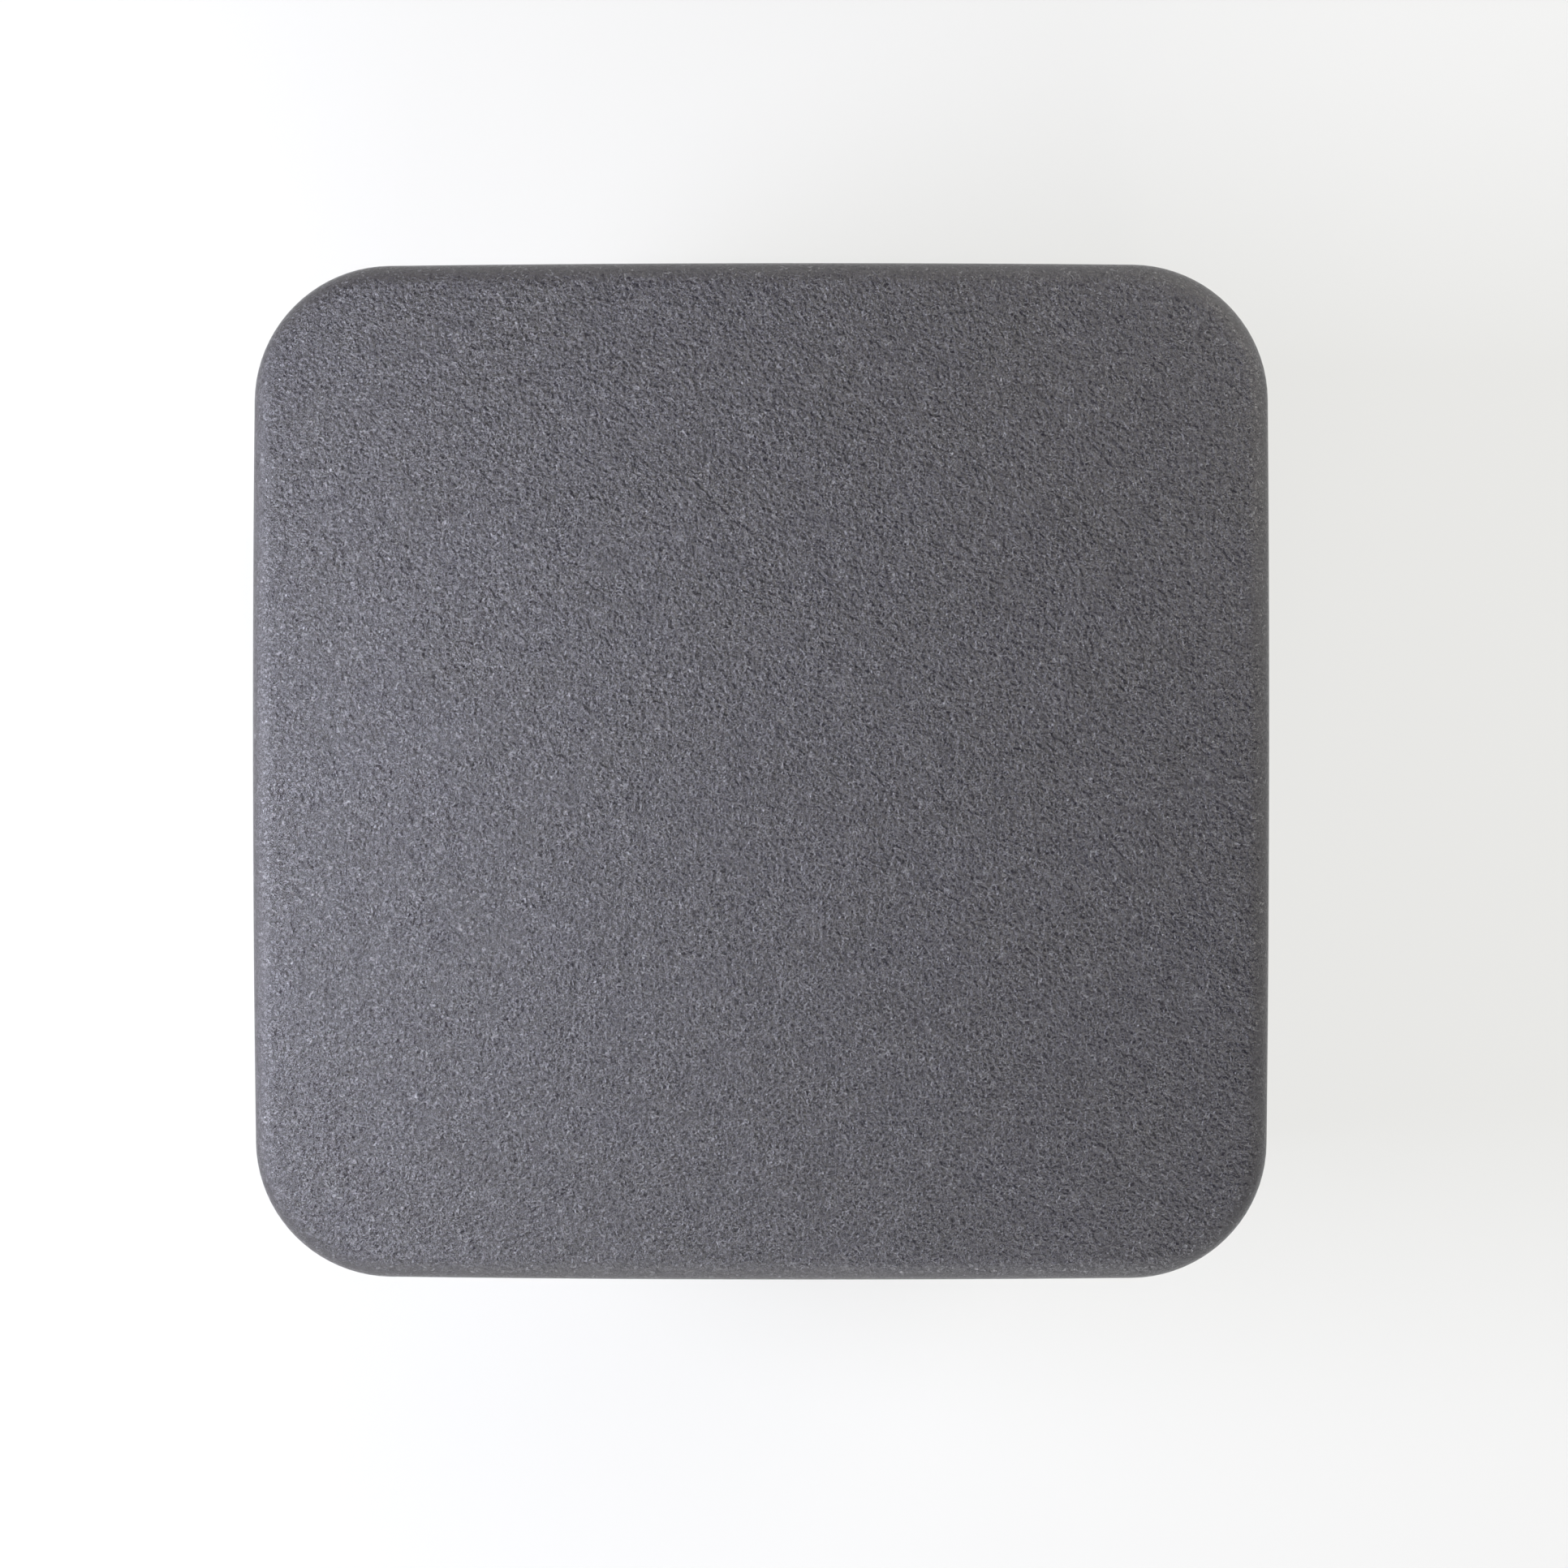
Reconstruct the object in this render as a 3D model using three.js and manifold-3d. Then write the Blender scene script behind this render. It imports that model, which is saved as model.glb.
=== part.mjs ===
// A plug-in cap for a fence post of 60 x 60 x 2 mm square tube.
//
// A hard, softly domed head lies on the sawn end of the post with a rubber gasket between them.
// A softer plug with rows of fins grips the bore. Four screws, driven from below through the
// plug's plate into bosses under the head, hold the two mouldings together.
//
// Millimetres, +Z up. The origin is under the middle of the plug, in the plane of its lower
// edge, so the cap stands on its plug with the crown up.

import * as THREE from 'three';
import { mergeVertices } from 'three/addons/utils/BufferGeometryUtils.js';
import Module from 'manifold-3d';

const wasm = await Module();
wasm.setup();

// The post: its end meets the gasket at SEAT_Z, and its bore takes the plug
const POST_SIDE = 60;
const POST_WALL = 2;
const BORE_HALF = POST_SIDE / 2 - POST_WALL;
const SEAT_Z = 22;

// The gasket: a flat ring, a little inside the head's outline
const GASKET_THICKNESS = 1.5;
const GASKET_OUTER_HALF = 29.6;
const GASKET_INNER_HALF = 25;

// The head: a shell as wide as the post
const HEAD_HALF = POST_SIDE / 2;
const HEAD_CORNER_RADIUS = 8;
const HEAD_HEIGHT = 6.5;
const HEAD_WALL = 2.5;
const CROWN_RADIUS = 380;
const EDGE_FILLET = 1.5;
const RIM_Z = SEAT_Z + GASKET_THICKNESS;
const CROWN_Z = RIM_Z + HEAD_HEIGHT;
const ROOF_Z = CROWN_Z - HEAD_WALL;
const CAVITY_HALF = HEAD_HALF - HEAD_WALL;

// Ribs under the head: a cross, and pairs that centre the plug on each side
const HEAD_RIB_THICKNESS = 1.2;
const CROSS_RIB_Z = 25.75;
const CENTRING_RIB_OFFSET = 10;
const RIB_ROOT = 0.4;

// The plug: a square sleeve with a plate across it and a cross of ribs below the plate
const PLUG_HALF = 24.8;
const PLUG_WALL = 1.8;
const PLUG_TOP_Z = 25.5;
const LEAD_IN = 1;
const LEAD_IN_HEIGHT = 3;
const PLATE_TOP_Z = 19.5;
const PLATE_THICKNESS = 2.5;
const PLATE_Z = PLATE_TOP_Z - PLATE_THICKNESS;
const PLUG_RIB_THICKNESS = 1.5;
const PLUG_RIB_Z = 1.5;

// The fins: five rows, at the size that they have in the bore, open at the corners
const FIN_ROWS = 5;
const FIN_PITCH = 4;
const FIN_FIRST_Z = 3.2;
const FIN_TIP_HALF = BORE_HALF - 0.1;
const FIN_ROOT_HALF = 23.6;
const FIN_TIP_THICKNESS = 0.6;
const FIN_ROOT_THICKNESS = 1.4;
const FIN_RISE = 0.5;
const FIN_CORNER_GAP = 6;

// The screws: 2.9 x 9.5 mm pan heads with a cross recess, and the bosses that they bite into
const SCREW_OFFSET = 14;
const SCREW_RADIUS = 1.45;
const SCREW_LENGTH = 9.5;
const SCREW_POINT = 2;
const SCREW_HEAD_RADIUS = 2.8;
const SCREW_HEAD_HEIGHT = 2.2;
const PAN_FLAT_SHARE = 0.62;
const PAN_SHOULDER_SHARE = 0.86;
const RECESS_WIDTH = 3;
const RECESS_SLOT = 0.75;
const RECESS_DEPTH = 1.2;
const CLEARANCE_RADIUS = 1.65;
const PILOT_RADIUS = 1.5;
const PILOT_TOP_Z = 27.2;
const BOSS_RADIUS = 3.5;

// How finely round things are divided
const CORNER_STEPS = 8;
const HEAD_SIDE_STEPS = 4;
const FILLET_STEPS = 5;
const CROWN_RINGS = 5;
const ROUND_STEPS = 20;

const QUARTER_TURN = Math.PI / 2;
const PAST = 1;                 // how far a cutting tool runs past the face that it cuts
const MERGE_TOLERANCE = 1e-4;
const SMALLEST_CORNER_SHARE = 0.2;

const HEAD_PLASTIC = { color: 0x4c4c50, roughness: 0.55, metalness: 0 };
const PLUG_PLASTIC = { color: 0x232325, roughness: 0.6, metalness: 0 };
const GASKET_RUBBER = { color: 0x1c1c1c, roughness: 0.85, metalness: 0 };
const SCREW_STEEL = { color: 0xb9bbbd, roughness: 0.35, metalness: 1 };

// --- From three.js geometry to solids, and back to named meshes ---

function toSolid(geometry) {
  const bare = geometry.clone();
  bare.deleteAttribute('normal');
  bare.deleteAttribute('uv');
  const merged = mergeVertices(bare, MERGE_TOLERANCE);
  const corners = Array.from(merged.index.array);
  const triangles = [];
  for (let i = 0; i < corners.length; i += 3) {
    const [a, b, c] = corners.slice(i, i + 3);
    if (a !== b && b !== c && c !== a) triangles.push(a, b, c);
  }
  return new wasm.Manifold(new wasm.Mesh({
    numProp: 3,
    vertProperties: new Float32Array(merged.attributes.position.array),
    triVerts: new Uint32Array(triangles),
  }));
}

function toMesh(name, solid, finish) {
  const { vertProperties, triVerts } = solid.getMesh();
  const geometry = new THREE.BufferGeometry();
  geometry.setAttribute('position', new THREE.BufferAttribute(vertProperties, 3));
  geometry.setIndex(new THREE.BufferAttribute(triVerts, 1));
  geometry.computeVertexNormals();
  const mesh = new THREE.Mesh(geometry, new THREE.MeshStandardMaterial(finish));
  mesh.name = name;
  return mesh;
}

function join(solids) {
  return solids.reduce((sum, solid) => sum.add(solid));
}

// --- Shapes ---

// A block between three pairs of limits, turned about Z by a number of quarter turns
function block([x0, x1], [y0, y1], [z0, z1], quarterTurns = 0) {
  const geometry = new THREE.BoxGeometry(x1 - x0, y1 - y0, z1 - z0);
  geometry.translate((x0 + x1) / 2, (y0 + y1) / 2, (z0 + z1) / 2);
  return toSolid(geometry.rotateZ(quarterTurns * QUARTER_TURN));
}

// An upright cylinder
function rod(radius, [z0, z1], [x, y]) {
  const geometry = new THREE.CylinderGeometry(radius, radius, z1 - z0, ROUND_STEPS);
  geometry.rotateX(QUARTER_TURN).translate(x, y, (z0 + z1) / 2);
  return toSolid(geometry);
}

// Round corners stay concentric with the head's own, and never get nearly sharp
function cornerRadius(half) {
  const concentric = HEAD_CORNER_RADIUS - (HEAD_HALF - half);
  return Math.max(concentric, SMALLEST_CORNER_SHARE * half);
}

// The point at one step along a round-cornered square, counterclockwise
function ringPoint(half, step, sideSteps) {
  const quarterSteps = CORNER_STEPS + sideSteps;
  const inQuarter = step % quarterSteps;
  const radius = cornerRadius(half);
  const straight = half - radius;
  let x;
  let y;
  if (inQuarter <= CORNER_STEPS) {
    const angle = (inQuarter / CORNER_STEPS) * QUARTER_TURN;
    x = straight + radius * Math.cos(angle);
    y = straight + radius * Math.sin(angle);
  } else {
    x = straight * (1 - (2 * (inQuarter - CORNER_STEPS)) / sideSteps);
    y = half;
  }
  for (let turn = Math.floor(step / quarterSteps); turn > 0; turn -= 1) {
    [x, y] = [-y, x];
  }
  return [x, y];
}

// A profile of [half width, z] run around the square. LatheGeometry makes the skin, and its
// rings are then moved from circles to round-cornered squares. heightAt bends the levels.
function squareRun(profile, { sideSteps = 1, heightAt = (x, y, z) => z } = {}) {
  const ringSteps = 4 * (CORNER_STEPS + sideSteps);
  const points = profile.map(([half, z]) => new THREE.Vector2(half, z));
  const geometry = new THREE.LatheGeometry(points, ringSteps);
  const position = geometry.attributes.position;
  for (let step = 0; step <= ringSteps; step += 1) {
    profile.forEach(([half, z], level) => {
      const [x, y] = ringPoint(half, step, sideSteps);
      position.setXYZ(step * profile.length + level, x, y, heightAt(x, y, z));
    });
  }
  return toSolid(geometry);
}

function quarterTurns(make) {
  return [0, 1, 2, 3].map(make);
}

const SCREW_PLACES = quarterTurns((turn) => {
  const angle = (turn + 0.5) * QUARTER_TURN;
  return [Math.sign(Math.cos(angle)) * SCREW_OFFSET, Math.sign(Math.sin(angle)) * SCREW_OFFSET];
});

// --- The head ---

// Every level above the rim follows the crown, which falls away from the middle as a sphere does
function crownDrop(x, y) {
  return (x * x + y * y) / (2 * CROWN_RADIUS);
}

function followCrown(x, y, z) {
  return z > RIM_Z ? z - crownDrop(x, y) : z;
}

function headShell() {
  const outline = [[0, RIM_Z], [HEAD_HALF, RIM_Z]];
  for (let step = 0; step <= FILLET_STEPS; step += 1) {
    const angle = (step / FILLET_STEPS) * QUARTER_TURN;
    outline.push([
      HEAD_HALF - EDGE_FILLET * (1 - Math.cos(angle)),
      CROWN_Z - EDGE_FILLET * (1 - Math.sin(angle)),
    ]);
  }
  const crownHalf = HEAD_HALF - EDGE_FILLET;
  for (let ring = 1; ring <= CROWN_RINGS; ring += 1) {
    outline.push([crownHalf * (1 - ring / CROWN_RINGS), CROWN_Z]);
  }
  const cavity = [[0, RIM_Z - PAST], [CAVITY_HALF, RIM_Z - PAST], [CAVITY_HALF, ROOF_Z], [0, ROOF_Z]];
  const bend = { sideSteps: HEAD_SIDE_STEPS, heightAt: followCrown };
  return squareRun(outline, bend).subtract(squareRun(cavity, bend));
}

function crossRibs() {
  const across = [-CAVITY_HALF - RIB_ROOT, CAVITY_HALF + RIB_ROOT];
  const thick = [-HEAD_RIB_THICKNESS / 2, HEAD_RIB_THICKNESS / 2];
  const tall = [CROSS_RIB_Z, ROOF_Z + RIB_ROOT];
  return [0, 1].map((turn) => block(across, thick, tall, turn));
}

function centringRibs() {
  const reach = [GASKET_INNER_HALF, CAVITY_HALF + RIB_ROOT];
  const tall = [RIM_Z, ROOF_Z + RIB_ROOT];
  return quarterTurns((turn) => join([-CENTRING_RIB_OFFSET, CENTRING_RIB_OFFSET].map((offset) => {
    const thick = [offset - HEAD_RIB_THICKNESS / 2, offset + HEAD_RIB_THICKNESS / 2];
    return block(reach, thick, tall, turn);
  })));
}

function screwBosses() {
  const rootZ = ROOF_Z - crownDrop(SCREW_OFFSET, SCREW_OFFSET) + HEAD_WALL / 2;
  return SCREW_PLACES.map((place) => rod(BOSS_RADIUS, [PLATE_TOP_Z, rootZ], place));
}

function capHead() {
  const pilots = SCREW_PLACES.map((place) => (
    rod(PILOT_RADIUS, [PLATE_TOP_Z - PAST, PILOT_TOP_Z], place)
  ));
  return join([headShell(), ...crossRibs(), ...centringRibs(), ...screwBosses()])
    .subtract(join(pilots));
}

// --- The gasket ---

function rimGasket() {
  return squareRun([
    [GASKET_INNER_HALF, SEAT_Z],
    [GASKET_OUTER_HALF, SEAT_Z],
    [GASKET_OUTER_HALF, RIM_Z],
    [GASKET_INNER_HALF, RIM_Z],
    [GASKET_INNER_HALF, SEAT_Z],
  ]);
}

// --- The plug ---

function plugSleeve() {
  const inner = PLUG_HALF - PLUG_WALL;
  return squareRun([
    [inner, 0],
    [PLUG_HALF - LEAD_IN, 0],
    [PLUG_HALF, LEAD_IN_HEIGHT],
    [PLUG_HALF, PLUG_TOP_Z],
    [inner, PLUG_TOP_Z],
    [inner, 0],
  ]);
}

// The plate and the ribs end in the middle of the sleeve's wall
function plugPlate() {
  const reach = PLUG_HALF - PLUG_WALL / 2;
  return squareRun([[0, PLATE_Z], [reach, PLATE_Z], [reach, PLATE_TOP_Z], [0, PLATE_TOP_Z]]);
}

function plugRibs() {
  const reach = PLUG_HALF - LEAD_IN - PLUG_WALL / 4;
  const thick = [-PLUG_RIB_THICKNESS / 2, PLUG_RIB_THICKNESS / 2];
  const tall = [PLUG_RIB_Z, PLATE_Z + RIB_ROOT];
  return [0, 1].map((turn) => block([-reach, reach], thick, tall, turn));
}

// A fin rises towards its tip, so it slides in easily and bites when it is pulled out
function fin(row) {
  const tipZ = FIN_FIRST_Z + row * FIN_PITCH;
  const rootZ = tipZ - FIN_RISE;
  return squareRun([
    [FIN_ROOT_HALF, rootZ - FIN_ROOT_THICKNESS],
    [FIN_TIP_HALF, tipZ - FIN_TIP_THICKNESS],
    [FIN_TIP_HALF, tipZ],
    [FIN_ROOT_HALF, rootZ],
    [FIN_ROOT_HALF, rootZ - FIN_ROOT_THICKNESS],
  ]);
}

// Slots at the four corners, where a welded tube's bore is rounded, let the fins bend
function finCornerSlots() {
  const nearest = Math.SQRT2 * (FIN_ROOT_HALF - cornerRadius(FIN_ROOT_HALF));
  const farthest = Math.SQRT2 * BORE_HALF;
  const wide = [-FIN_CORNER_GAP / 2, FIN_CORNER_GAP / 2];
  const tall = [-PAST, PLUG_TOP_Z];
  return quarterTurns((turn) => block([nearest, farthest], wide, tall, turn + 0.5));
}

function ribbedPlug() {
  const rows = Array.from({ length: FIN_ROWS }, (_, row) => fin(row));
  const fins = join(rows).subtract(join(finCornerSlots()));
  const holes = SCREW_PLACES.map((place) => (
    rod(CLEARANCE_RADIUS, [PLATE_Z - PAST, PLATE_TOP_Z + PAST], place)
  ));
  return join([plugSleeve(), plugPlate(), ...plugRibs(), fins]).subtract(join(holes));
}

// --- The screws ---

// Head down, point up, with the seat of its head at z = 0: a pan head with a flat end, a shank
// at the thread's outer size and a point
function plugScrew() {
  const profile = [
    [0, -SCREW_HEAD_HEIGHT],
    [SCREW_HEAD_RADIUS * PAN_FLAT_SHARE, -SCREW_HEAD_HEIGHT],
    [SCREW_HEAD_RADIUS * PAN_SHOULDER_SHARE, -SCREW_HEAD_HEIGHT * PAN_SHOULDER_SHARE],
    [SCREW_HEAD_RADIUS, -SCREW_HEAD_HEIGHT / 2],
    [SCREW_HEAD_RADIUS, 0],
    [SCREW_RADIUS, 0],
    [SCREW_RADIUS, SCREW_LENGTH - SCREW_POINT],
    [0, SCREW_LENGTH],
  ].map(([radius, z]) => new THREE.Vector2(radius, z));
  const turned = new THREE.LatheGeometry(profile, ROUND_STEPS).rotateX(QUARTER_TURN);
  const long = [-RECESS_WIDTH / 2, RECESS_WIDTH / 2];
  const narrow = [-RECESS_SLOT / 2, RECESS_SLOT / 2];
  const deep = [-SCREW_HEAD_HEIGHT - PAST, -SCREW_HEAD_HEIGHT + RECESS_DEPTH];
  const recess = join([0, 1].map((turn) => block(long, narrow, deep, turn)));
  return toSolid(turned).subtract(recess);
}

// --- The assembly ---

const cap = new THREE.Group();
cap.name = 'fence_post_cap';
cap.add(toMesh('cap_head', capHead(), HEAD_PLASTIC));
cap.add(toMesh('rim_gasket', rimGasket(), GASKET_RUBBER));
cap.add(toMesh('ribbed_plug', ribbedPlug(), PLUG_PLASTIC));
SCREW_PLACES.forEach(([x, y], i) => {
  const screw = toMesh(`plug_screw_${i + 1}`, plugScrew(), SCREW_STEEL);
  screw.position.set(x, y, PLATE_Z);
  cap.add(screw);
});

export default cap;
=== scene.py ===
# A plug-in cap for a 60 x 60 mm square fence post: a domed, fine-grained head, a rubber gasket, a finned
# plug and the four screws that hold head and plug together. Metres, +Z up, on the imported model's frame.

import math

import bpy
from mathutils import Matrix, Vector


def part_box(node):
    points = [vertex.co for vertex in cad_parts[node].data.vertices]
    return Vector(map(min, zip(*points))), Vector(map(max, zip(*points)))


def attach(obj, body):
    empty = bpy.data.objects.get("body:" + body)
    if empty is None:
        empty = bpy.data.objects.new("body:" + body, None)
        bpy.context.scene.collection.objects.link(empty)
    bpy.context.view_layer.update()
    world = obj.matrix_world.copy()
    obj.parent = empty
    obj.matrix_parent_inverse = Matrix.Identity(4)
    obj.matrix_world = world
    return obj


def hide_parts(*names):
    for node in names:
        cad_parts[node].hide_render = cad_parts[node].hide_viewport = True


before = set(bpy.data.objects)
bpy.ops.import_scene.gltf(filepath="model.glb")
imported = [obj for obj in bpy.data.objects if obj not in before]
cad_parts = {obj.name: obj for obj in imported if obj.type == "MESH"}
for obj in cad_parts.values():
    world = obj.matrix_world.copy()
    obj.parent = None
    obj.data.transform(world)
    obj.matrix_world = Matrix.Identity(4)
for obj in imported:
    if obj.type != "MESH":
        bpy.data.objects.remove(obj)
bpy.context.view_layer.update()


# --- Head ---
# The head is a hard, weatherproof plastic moulding, dark grey all through. Its mould was spark eroded,
# which leaves a fine even grain on the crown, the rounded edge and the sides. Underneath it has a cross of
# ribs, pairs of ribs that centre the plug, and four bosses that the screws bite into.

head_low, head_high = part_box("cap_head")
gasket_low, gasket_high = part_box("rim_gasket")
plug_low, plug_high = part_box("ribbed_plug")
screw_low, screw_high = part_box("plug_screw_1")
screw_offset = abs(screw_low.x + screw_high.x) / 2

head_half = head_high.x
corner_radius = 0.008
head_wall = 0.0025
cavity_half = head_half - head_wall
crown_z = head_high.z
crown_radius = 0.380
roof_z = crown_z - head_wall
rim_z = gasket_high.z
edge_fillet = 0.0015
rim_edge = 0.0003
cavity_fillet = 0.0008
rib_root = 0.0004
rib_gap = 0.00025
pilot_spare = 0.0007
quarter_turn = math.pi / 2


def arc(half, z, radius, start, end, steps):
    """Points of [half width, height] on a round edge, from one angle to the other, in degrees."""
    angles = [math.radians(start + (end - start) * i / steps) for i in range(steps + 1)]
    return [(half + radius * math.cos(a), z + radius * math.sin(a)) for a in angles]


def square_ring(half, round_steps=20, side_steps=24):
    """Points along a square with round corners, counterclockwise. Its corners share their centres with the
    head's, or are a fifth of the half width where that would leave less."""
    smallest_share = 0.2
    radius = max(corner_radius - (head_half - half), smallest_share * half)
    straight = half - radius
    quarter = []
    for i in range(round_steps):
        angle = quarter_turn * i / round_steps
        quarter.append((straight + radius * math.cos(angle), straight + radius * math.sin(angle)))
    for i in range(side_steps):
        quarter.append((straight * (1 - 2 * i / side_steps), half))
    ring = []
    for _ in range(4):
        ring += quarter
        quarter = [(-y, x) for x, y in quarter]
    return ring


def moulded(name, profile, ring_at=square_ring):
    """A closed mesh: a profile of [half width, height] run round a ring. The profile starts and ends on the
    axis, or it is a loop."""
    count = len(ring_at(head_half))
    verts = []
    rows = []
    for half, z in profile:
        if half == 0:
            rows.append([len(verts)] * count)
            verts.append((0, 0, z))
        else:
            rows.append(range(len(verts), len(verts) + count))
            verts += [(x, y, z) for x, y in ring_at(half)]
    if profile[0][0] != 0:
        rows.append(rows[0])
    faces = []
    for low, high in zip(rows, rows[1:]):
        for i in range(count):
            following = (i + 1) % count
            corners = [low[i], low[following], high[following], high[i]]
            faces.append(list(dict.fromkeys(corners)))
    mesh = bpy.data.meshes.new(name)
    mesh.from_pydata(verts, [], faces)
    mesh.update()
    made = bpy.data.objects.new(name, mesh)
    bpy.context.scene.collection.objects.link(made)
    return made


def head_profile():
    """The flat moulding's section, from the roof of the hollow round the rim to the middle of the crown."""
    crown_rings = 18
    wall_rings = 5
    crown_half = head_half - edge_fillet
    side_top_z = crown_z - edge_fillet
    side_low_z = rim_z + rim_edge
    roof_half = cavity_half - cavity_fillet
    points = [(roof_half * i / crown_rings, roof_z) for i in range(crown_rings)]
    points += arc(roof_half, roof_z - cavity_fillet, cavity_fillet, 90, 0, 6)
    points += arc(cavity_half + rim_edge, side_low_z, rim_edge, 180, 270, 4)
    points += arc(head_half - rim_edge, side_low_z, rim_edge, 270, 360, 4)
    side_rise = (side_top_z - side_low_z) / wall_rings
    points += [(head_half, side_low_z + side_rise * i) for i in range(1, wall_rings)]
    points += arc(crown_half, side_top_z, edge_fillet, 0, 90, 16)
    points += [(crown_half * (1 - i / crown_rings), crown_z) for i in range(1, crown_rings)]
    return points + [(0, crown_z)]


def node(tree, kind, inputs=None, **settings):
    """Adds a node, sets its properties, and gives each input a value, a link or a list of links."""
    made = tree.nodes.new(kind)
    for key, value in settings.items():
        setattr(made, key, value)
    for key, value in (inputs or {}).items():
        for item in value if isinstance(value, list) else [value]:
            if isinstance(item, bpy.types.NodeSocket):
                tree.links.new(item, made.inputs[key])
            else:
                made.inputs[key].default_value = item
    return made


def calc(tree, operation, a, b=0.0):
    return node(tree, "ShaderNodeMath", {0: a, 1: b}, operation=operation).outputs[0]


def negative(tree, value):
    return calc(tree, "MULTIPLY", value, -1.0)


def point(tree, x=0.0, y=0.0, z=0.0):
    return node(tree, "ShaderNodeCombineXYZ", {"X": x, "Y": y, "Z": z}).outputs[0]


def rescale(tree, value, low, high, new_low=0.0, new_high=1.0, blend="LINEAR"):
    limits = {"Value": value, "From Min": low, "From Max": high, "To Min": new_low, "To Max": new_high}
    return node(tree, "ShaderNodeMapRange", limits, interpolation_type=blend).outputs[0]


def sizes_tree(name, sizes):
    """A geometry node tree with one geometry in and out, named sizes and counts, and a material."""
    tree = bpy.data.node_groups.new(name, "GeometryNodeTree")
    tree.is_modifier = True
    tree.interface.new_socket("Geometry", in_out="INPUT", socket_type="NodeSocketGeometry")
    for label, size in sizes.items():
        kind = "NodeSocketInt" if isinstance(size, int) else "NodeSocketFloat"
        tree.interface.new_socket(label, in_out="INPUT", socket_type=kind)
    tree.interface.new_socket("Material", in_out="INPUT", socket_type="NodeSocketMaterial")
    tree.interface.new_socket("Geometry", in_out="OUTPUT", socket_type="NodeSocketGeometry")
    return tree, node(tree, "NodeGroupInput").outputs


def end_tree(tree, geometry, material):
    """Ends a tree with plain geometry in the piece's material."""
    realized = node(tree, "GeometryNodeRealizeInstances", {"Geometry": geometry})
    coated = {"Geometry": realized.outputs[0], "Material": material}
    finished = node(tree, "GeometryNodeSetMaterial", coated)
    node(tree, "NodeGroupOutput", {"Geometry": finished.outputs[0]})


def position_axes(tree):
    """The X, Y and Z of each point of a geometry."""
    position = node(tree, "GeometryNodeInputPosition").outputs[0]
    return node(tree, "ShaderNodeSeparateXYZ", {0: position}).outputs


def squared_reach(tree, axes):
    """The squared distance from the upright axis."""
    return calc(tree, "ADD", calc(tree, "POWER", axes["X"], 2.0), calc(tree, "POWER", axes["Y"], 2.0))


def join_solids(tree, solids):
    joined = {"Mesh 2": solids}
    return node(tree, "GeometryNodeMeshBoolean", joined, operation="UNION", solver="MANIFOLD").outputs[0]


def cut_solid(tree, solid, cutters):
    cut = {"Mesh 1": solid, "Mesh 2": cutters}
    return node(tree, "GeometryNodeMeshBoolean", cut, operation="DIFFERENCE", solver="MANIFOLD").outputs[0]


def moved(tree, geometry, translation, rotation=(0, 0, 0)):
    inputs = {"Geometry": geometry, "Translation": translation, "Rotation": rotation}
    return node(tree, "GeometryNodeTransform", inputs).outputs[0]


def slab(tree, low, high):
    """An upright block between two corners."""
    corners = {0: point(tree, *high), 1: point(tree, *low)}
    size = node(tree, "ShaderNodeVectorMath", corners, operation="SUBTRACT").outputs[0]
    doubled = node(tree, "ShaderNodeVectorMath", corners, operation="ADD").outputs[0]
    middle = node(tree, "ShaderNodeVectorMath", {0: doubled, "Scale": 0.5}, operation="SCALE").outputs[0]
    return moved(tree, node(tree, "GeometryNodeMeshCube", {"Size": size}).outputs[0], middle)


def crossed_bars(tree, half_length, thickness, low_z, high_z):
    """Two upright bars of one size that cross on the axis."""
    half_thick = calc(tree, "MULTIPLY", thickness, 0.5)
    low = (negative(tree, half_length), negative(tree, half_thick), low_z)
    bar = slab(tree, low, (half_length, half_thick, high_z))
    return [bar, moved(tree, bar, (0, 0, 0), (0, 0, quarter_turn))]


def pin(tree, radius, low_z, high_z, offset):
    """An upright cylinder on the diagonal, at the same offset in X and Y."""
    height = calc(tree, "SUBTRACT", high_z, low_z)
    middle_z = calc(tree, "MULTIPLY", calc(tree, "ADD", high_z, low_z), 0.5)
    sizes = {"Vertices": 40, "Radius": radius, "Depth": height}
    cylinder = node(tree, "GeometryNodeMeshCylinder", sizes).outputs[0]
    return moved(tree, cylinder, point(tree, offset, offset, middle_z))


def four_times(tree, geometry):
    """Repeats a geometry at each quarter turn about the cap's axis."""
    places = node(tree, "GeometryNodeMeshLine", {"Count": 4, "Offset": (0, 0, 0)}).outputs[0]
    turn = calc(tree, "MULTIPLY", node(tree, "GeometryNodeInputIndex").outputs[0], quarter_turn)
    around = {"Points": places, "Instance": geometry, "Rotation": point(tree, z=turn)}
    instances = node(tree, "GeometryNodeInstanceOnPoints", around).outputs[0]
    return node(tree, "GeometryNodeRealizeInstances", {"Geometry": instances}).outputs[0]


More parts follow.
